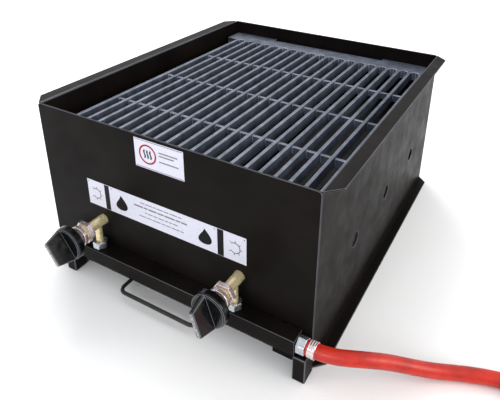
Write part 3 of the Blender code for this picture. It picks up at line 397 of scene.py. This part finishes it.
def cast_iron(name, dark, light):
    """Slate-grey casting with a sandy skin and a slight oily sheen."""
    finish = Finish(name, 0.35)
    finish.colour(finish.ramp(finish.noise(60, 6), ((0.30, dark), (0.72, light))))
    finish.roughness(finish.spread(finish.noise(180, 6), 0.36, 0.62))
    sand = finish.bump(finish.noise(900, 4), 0.55, 0.00022)
    finish.bump(finish.noise(150, 3), 0.35, 0.00030, sand)
    return finish


def dark_steel():
    """Dark coated steel, dulled by heat in brownish patches."""
    finish = Finish("dark_steel", 0.45)
    stops = ((0.30, (0.016, 0.015, 0.015)), (0.55, (0.036, 0.032, 0.030)), (0.75, (0.060, 0.046, 0.036)))
    finish.colour(finish.ramp(finish.noise(22, 6), stops))
    finish.roughness(finish.spread(finish.noise(70, 5), 0.40, 0.62))
    finish.bump(finish.noise(700, 3), 0.25, 0.00010)
    return finish


def plated(name, dark, light, low, high, lines, metallic):
    """Bright metal whose faint machining lines run across the axis that `lines` stretches."""
    finish = Finish(name, metallic)
    finish.colour(finish.ramp(finish.noise(260, 3), ((0.20, dark), (0.80, light))))
    finish.roughness(finish.spread(finish.noise(300, 4), low, high))
    fine = finish.bump(finish.noise(140, 3, finish.stretched(lines)), 0.10, 0.00006)
    finish.bump(finish.noise(420, 2), 0.05, 0.00008, fine)
    return finish


def black_plastic():
    """Glossy moulded plastic with rub marks. The grip's end face is worn to a pale grey."""
    finish = Finish("black_plastic")
    split = finish.tree.nodes.new("ShaderNodeSeparateXYZ")
    finish.tree.links.new(finish.place, split.inputs[0])
    face = finish.spread(split.outputs["Y"], 1.0, 0.0, WEAR_START, WEAR_END)
    worn = finish.ramp(finish.noise(900, 5), ((0.38, (0.10, 0.10, 0.10)), (0.62, (0.42, 0.41, 0.42))))
    stops = ((0.3, (0.0016, 0.0016, 0.0018)), (0.7, (0.0040, 0.0040, 0.0046)))
    body = finish.ramp(finish.noise(90, 3), stops)
    finish.shine(0.32)
    finish.colour(finish.mix(face, body, worn))
    finish.roughness(finish.spread(finish.noise(160, 6), 0.12, 0.30))
    finish.bump(finish.noise(500, 4), 0.10, 0.00008)
    return finish


def paper():
    """Pale laminated label with a faint cool tint."""
    finish = Finish("label")
    finish.colour(finish.ramp(finish.noise(260, 5), ((0.3, (0.62, 0.62, 0.72)), (0.7, (0.69, 0.69, 0.79)))))
    finish.roughness(finish.spread(finish.noise(80, 3), 0.30, 0.45))
    finish.bump(finish.noise(500, 2), 0.05, 0.00005)
    return finish


def ink(name, dark, light):
    """Slightly uneven print."""
    finish = Finish(name)
    finish.shine(0.10)
    finish.colour(finish.ramp(finish.noise(700, 4), ((0.3, dark), (0.7, light))))
    finish.roughness(finish.spread(finish.noise(200, 3), 0.35, 0.5))
    return finish


def hose_rubber():
    """Orange-red rubber, cloudy, with a fine grain."""
    finish = Finish("hose_rubber")
    stops = ((0.28, (0.30, 0.006, 0.003)), (0.55, (0.54, 0.016, 0.004)), (0.80, (0.64, 0.034, 0.010)))
    finish.colour(finish.ramp(finish.noise(45, 6), stops))
    finish.roughness(finish.spread(finish.noise(160, 5), 0.30, 0.48))
    fine = finish.bump(finish.noise(1500, 3), 0.18, 0.00008)
    finish.bump(finish.noise(220, 2), 0.10, 0.00012, fine)
    return finish


def casting(name, dark, light, metallic):
    """Die casting with a fine sandy skin, bare or painted."""
    finish = Finish(name, metallic)
    finish.colour(finish.ramp(finish.noise(110, 5), ((0.3, dark), (0.7, light))))
    finish.roughness(finish.spread(finish.noise(200, 4), 0.38, 0.55))
    finish.bump(finish.noise(1100, 3), 0.30, 0.00010)
    return finish


def make_materials():
    """Materials by name: for each slot, for each ink, and lighter copies of some slots' materials, painted
    highlights for their rounded edges.
    """
    finishes = (
        coated("black_coat", (0.0045, 0.0034, 0.0030), (0.0090, 0.0070, 0.0060), 0.055),
        # The lighter copies of the black coat, the cast iron and the black plastic are painted highlights
        # for rounded edges.
        coated("black_coat_edge", (0.045, 0.052, 0.064), (0.085, 0.095, 0.112), 0.5),
        cast_iron("cast_iron", (0.036, 0.043, 0.060), (0.105, 0.122, 0.165)),
        cast_iron("cast_iron_edge", (0.12, 0.14, 0.18), (0.30, 0.33, 0.40)),
        dark_steel(),
        plated("zinc", (0.42, 0.45, 0.49), (0.70, 0.73, 0.78), 0.18, 0.34, (1, 1, 12), 0.9),
        plated("nickel", (0.60, 0.48, 0.47), (0.92, 0.83, 0.82), 0.14, 0.30, (1, 12, 1), 0.75),
        plated("brass", (0.78, 0.62, 0.32), (1.00, 0.88, 0.56), 0.20, 0.36, (1, 14, 1), 0.50),
        black_plastic(),
        # Lighter copy of the black plastic: painted highlight on the knobs' rounded edges.
        coated("black_plastic_edge", (0.05, 0.06, 0.08), (0.13, 0.15, 0.18), 0.9),
        paper(),
        hose_rubber(),
        casting("grey_casting", (0.30, 0.31, 0.33), (0.44, 0.45, 0.47), 0.6),
        casting("blue_coat", (0.020, 0.050, 0.160), (0.035, 0.085, 0.240), 0.0),
        ink("dark_ink", (0.003, 0.003, 0.004), (0.009, 0.009, 0.011)),
        ink("grey_ink", (0.16, 0.15, 0.17), (0.26, 0.24, 0.27)),
        ink("red_ink", (0.30, 0.010, 0.012), (0.42, 0.020, 0.022)),
    )
    return {finish.name: finish.material for finish in finishes}


# Making pieces


def add_piece(name, mesh, node, replace=True):
    """Adds a piece that rides with a CAD node's body and, unless told otherwise, stands for it."""
    piece = bpy.data.objects.new(name, mesh)
    bpy.context.scene.collection.objects.link(piece)
    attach(piece, BODY_OF[node])
    if replace:
        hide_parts(node)
    return piece


def mesh_from(name, body):
    """Turns a bmesh into a mesh with its faces pointing out and its curved stretches smooth."""
    bmesh.ops.recalc_face_normals(body, faces=body.faces)
    mesh = bpy.data.meshes.new(name)
    body.to_mesh(mesh)
    body.free()
    mesh.shade_smooth()
    mesh.set_sharp_from_angle(angle=SMOOTH_ANGLE)
    return mesh


def with_round_edges(mesh, width):
    """The mesh with its sharp edges rounded. The rounded strips take the mesh's last material, where there
    is one a lighter copy that paints highlights on them.
    """
    helper = bpy.data.objects.new("helper", mesh)
    bpy.context.scene.collection.objects.link(helper)
    bevel = helper.modifiers.new("bevel", "BEVEL")
    bevel.width = width
    bevel.segments = BEVEL_SEGMENTS
    bevel.limit_method = "ANGLE"
    bevel.angle_limit = BEVEL_ANGLE
    bevel.use_clamp_overlap = True
    bevel.material = len(mesh.materials) - 1
    flat = helper.modifiers.new("flat", "WEIGHTED_NORMAL")
    flat.weight = 100
    flat.keep_sharp = True
    graph = bpy.context.evaluated_depsgraph_get()
    result = bpy.data.meshes.new_from_object(helper.evaluated_get(graph))
    bpy.data.objects.remove(helper)
    return result


def rounded_copy(node, width, materials):
    """A copy of a CAD node with clean flat faces and rounded edges."""
    slot = SLOT_OF[node]
    body = bmesh.new()
    body.from_mesh(NODES[node].data)
    bmesh.ops.remove_doubles(body, verts=body.verts, dist=MERGE_DISTANCE)
    bmesh.ops.dissolve_limit(
        body, angle_limit=FLAT_ANGLE, verts=body.verts, edges=body.edges, delimit={"NORMAL"}
    )
    mesh = mesh_from(node, body)
    mesh.materials.clear()
    mesh.materials.append(materials[slot])
    # A slot's lighter copy, where there is one, goes last and paints highlights on the rounded edges.
    if f"{slot}_edge" in materials:
        mesh.materials.append(materials[f"{slot}_edge"])
    return add_piece(f"{node}_rounded", with_round_edges(mesh, width), node)


def dress(node, materials):
    """Gives a CAD node its slot's material and smooth shading."""
    mesh = NODES[node].data
    mesh.materials.clear()
    mesh.materials.append(materials[SLOT_OF[node]])
    mesh.shade_smooth()
    mesh.set_sharp_from_angle(angle=SMOOTH_ANGLE)


# Hose


def coil_points():
    """One and a half clockwise turns from the coil's +Y side, the later ones outside the first.

    The hose climbs once, in a low hump, over the length by which it came in.
    """
    points = []
    for swept in range(0, COIL_SWEEP + 1, COIL_STEP):
        widen = min(max((swept - WIDENING_START) / WIDENING_SWEEP, 0.0), 1.0)
        eased = widen * widen * (3 - 2 * widen)
        radius = COIL_INNER_TURN + (COIL_OUTER_TURN - COIL_INNER_TURN) * eased
        angle = math.radians(90 - swept)
        away = abs(swept - CROSSING) / CROSSING_SPREAD
        hump = math.cos(math.pi / 2 * away) ** 2 if away < 1 else 0.0
        x = COIL_CENTRE[0] + radius * math.cos(angle)
        y = COIL_CENTRE[1] + radius * math.sin(angle)
        points.append((x, y, HOSE_RADIUS + GAP + CROSSING_RISE * hump))
    return points


def add_hose(materials):
    points = [*HOSE_ROUTE, *coil_points(), *TAIL_ROUTE]
    curve = bpy.data.curves.new("hose", "CURVE")
    curve.dimensions = "3D"
    curve.bevel_depth = HOSE_RADIUS
    curve.bevel_resolution = 8
    curve.use_fill_caps = True
    curve.resolution_u = 8
    spline = curve.splines.new("NURBS")
    spline.points.add(len(points) - 1)
    for knot, point in zip(spline.points, points):
        knot.co = (*point, 1.0)
    spline.order_u = 4
    spline.use_endpoint_u = True
    curve.materials.append(materials["hose_rubber"])
    hose = bpy.data.objects.new("hose", curve)
    bpy.context.scene.collection.objects.link(hose)
    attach(hose, "grill")
    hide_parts("gas_hose", "gas_hose_coil", "gas_hose_tail")
    return hose


def ferrule_profile(outer, length):
    """(radius, distance) points of a crimp ring: pressed grooves between two rounded rims."""
    inner = HOSE_RADIUS + GAP
    profile = [(inner, 0.0)]
    for step in range(CRIMP_STEPS + 1):
        t = step / CRIMP_STEPS
        from_rim = min(t, 1 - t) * length
        groove = CRIMP_DEPTH * (0.5 - 0.5 * math.cos(2 * math.pi * CRIMPS * t))
        drop = RIM_DROP * max(0.0, 1 - from_rim / RIM_ROUND) ** 2
        profile.append((outer - groove - drop, t * length))
    profile.append((inner, length))
    return profile


def crimped_ferrule(node, materials):
    """Crimp ring along X, in the place of a CAD node."""
    lo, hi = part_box(node)
    middle_y = (lo.y + hi.y) / 2
    middle_z = (lo.z + hi.z) / 2
    body = bmesh.new()
    rings = []
    for radius, along in ferrule_profile((hi.z - lo.z) / 2, hi.x - lo.x):
        ring = []
        for i in range(RING_SEGMENTS):
            angle = 2 * math.pi * i / RING_SEGMENTS
            y = middle_y + radius * math.cos(angle)
            z = middle_z + radius * math.sin(angle)
            ring.append(body.verts.new((lo.x + along, y, z)))
        rings.append(ring)
    for near, far in zip(rings, rings[1:] + rings[:1]):
        for i in range(RING_SEGMENTS):
            j = (i + 1) % RING_SEGMENTS
            body.faces.new((near[i], near[j], far[j], far[i]))
    mesh = mesh_from(node, body)
    mesh.materials.append(materials[SLOT_OF[node]])
    return add_piece(f"{node}_crimped", mesh, node)


# Labels. An outline is a list of (X, Z) points.


def bar(x0, x1, z0, z1):
    """Outline of a plain bar."""
    return [(x0, z0), (x1, z0), (x1, z1), (x0, z1)]


def stroke(points, width):
    """Outline of an open line of points, drawn with one width."""
    left = []
    right = []
    for i, (x, z) in enumerate(points):
        x0, z0 = points[max(i - 1, 0)]
        x1, z1 = points[min(i + 1, len(points) - 1)]
        run = math.hypot(x1 - x0, z1 - z0)
        aside_x = -(z1 - z0) / run * width / 2
        aside_z = (x1 - x0) / run * width / 2
        left.append((x + aside_x, z + aside_z))
        right.append((x - aside_x, z - aside_z))
    return left + right[::-1]


def arc_points(cx, cz, radius, start, end, steps):
    """Points along an arc between two angles in degrees."""
    turns = [math.radians(start + (end - start) * i / steps) for i in range(steps + 1)]
    return [(cx + radius * math.cos(t), cz + radius * math.sin(t)) for t in turns]


def flame(cx, cz):
    """A plain flame: a drop with a bent tip."""
    points = []
    for i in range(FLAME_STEPS):
        t = 2 * math.pi * i / FLAME_STEPS
        x = FLAME_SWELL * FLAME_SIZE * math.sin(t) * math.sin(t / 2) ** FLAME_TAPER
        z = 0.5 * FLAME_SIZE * math.cos(t)
        height = 0.5 + z / FLAME_SIZE
        bend = FLAME_BEND * FLAME_SIZE * math.sin(math.pi * height) * height
        points.append((cx + x + bend, cz + z))
    return points


def dial_mark(cx, cz):
    """Part of a circle with ticks around it."""
    ticks = [DIAL_START + DIAL_STEP * i for i in range(DIAL_TICKS)]
    shapes = []
    for start in ticks[:-1]:
        arc = arc_points(cx, cz, DIAL_RADIUS, start, start + DIAL_STEP, 6)
        shapes.append(stroke(arc, DIAL_LINE))
    for degrees in ticks:
        t = math.radians(degrees)
        reaches = (DIAL_RADIUS * TICK_INNER, DIAL_RADIUS * TICK_OUTER)
        shapes.append(stroke([(cx + r * math.cos(t), cz + r * math.sin(t)) for r in reaches], DIAL_LINE))
    return shapes


def bar_rows(middle):
    """Rows of plain bars of unequal length."""
    shapes = []
    for row, (half, height) in enumerate(ROWS):
        z = middle + ROW_TOP - row * ROW_PITCH
        x = -half
        for part in range(len(ROW_SHARES)):
            share = ROW_SHARES[(part + row) % len(ROW_SHARES)]
            end = min(x + half * share, half)
            if end - x > SHORTEST_BAR:
                shapes.append(bar(x + ROW_SHIFT, end + ROW_SHIFT, z, z + height))
            x = end + BAR_SPACE
    return shapes


def front_print():
    """Dark upright bars, dials, flames and dots, and grey rows of bars."""
    lo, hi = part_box("front_label")
    middle = (lo.z + hi.z) / 2
    dark = [bar(x0, x1, lo.z + FIELD_MARGIN, hi.z - FIELD_MARGIN) for x0, x1 in DARK_FIELDS]
    for x in DIALS_X:
        dark += dial_mark(x, middle)
    dark += [flame(x, middle) for x in FLAMES_X]
    for x in (lo.x + DOT_MARGIN, *DOTS_INNER_X, hi.x - DOT_MARGIN):
        dark.append(arc_points(x, hi.z - DOT_DROP, DOT_RADIUS, 0, 330, 11))
    return dark, bar_rows(middle)


def surface_print():
    """A red ring, dark waves of heat between two thin dark rules, and grey side bars."""
    lo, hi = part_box("hot_surface_label")
    cx = lo.x + RING_X
    cz = (lo.z + hi.z) / 2 + RING_RISE
    ring = [stroke(arc_points(cx, cz, RING_RADIUS, start, start + 180, 24), RING_LINE) for start in (0, 180)]
    dark = []
    for offset in WAVE_OFFSETS:
        wave = []
        for i in range(WAVE_STEPS + 1):
            swing = WAVE_SWING * math.sin(2 * math.pi * i / WAVE_STEPS)
            wave.append((cx + offset + swing, cz - WAVE_DROP + WAVE_STEP * i))
        dark.append(stroke(wave, WAVE_LINE))
    left = lo.x + RULE_INSET
    right = hi.x - RULE_INSET
    dark.append(bar(left, right, lo.z + RULE_INSET, lo.z + RULE_INSET + RULE_HEIGHT))
    dark.append(bar(left, right, hi.z - RULE_INSET - RULE_HEIGHT, hi.z - RULE_INSET))
    grey = [bar(lo.x + x0, lo.x + x1, cz + z, cz + z + SIDE_BAR_HEIGHT) for z, x0, x1 in SIDE_BARS]
    return ring, dark, grey


def add_print(name, shapes, node, material):
    """Prints outlines on the face of a label."""
    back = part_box(node)[0].y - PRINT_LIFT
    body = bmesh.new()
    for shape in shapes:
        near = [body.verts.new((x, back - PRINT_DEPTH, z)) for x, z in shape]
        far = [body.verts.new((x, back, z)) for x, z in shape]
        body.faces.new(near)
        body.faces.new(far[::-1])
        for i in range(len(shape)):
            j = (i + 1) % len(shape)
            body.faces.new((near[i], near[j], far[j], far[i]))
    faces = [face for face in body.faces if len(face.verts) > 4]
    bmesh.ops.triangulate(body, faces=faces, ngon_method="EAR_CLIP")
    mesh = mesh_from(name, body)
    mesh.materials.append(material)
    add_piece(name, mesh, node, replace=False)


def add_prints(materials):
    dark, grey = front_print()
    add_print("front_label_dark", dark, "front_label", materials["dark_ink"])
    add_print("front_label_grey", grey, "front_label", materials["grey_ink"])
    ring, dark, grey = surface_print()
    add_print("surface_label_ring", ring, "hot_surface_label", materials["red_ink"])
    add_print("surface_label_dark", dark, "hot_surface_label", materials["dark_ink"])
    add_print("surface_label_grey", grey, "hot_surface_label", materials["grey_ink"])


def build():
    add_camera()
    add_studio()
    add_floor()
    materials = make_materials()
    hose = add_hose(materials)
    for node in NODES:
        dress(node, materials)
    made = {node: rounded_copy(node, width, materials) for node, width in EDGE_WIDTHS.items()}
    for node in FERRULES:
        made[node] = crimped_ferrule(node, materials)
    add_prints(materials)


build()
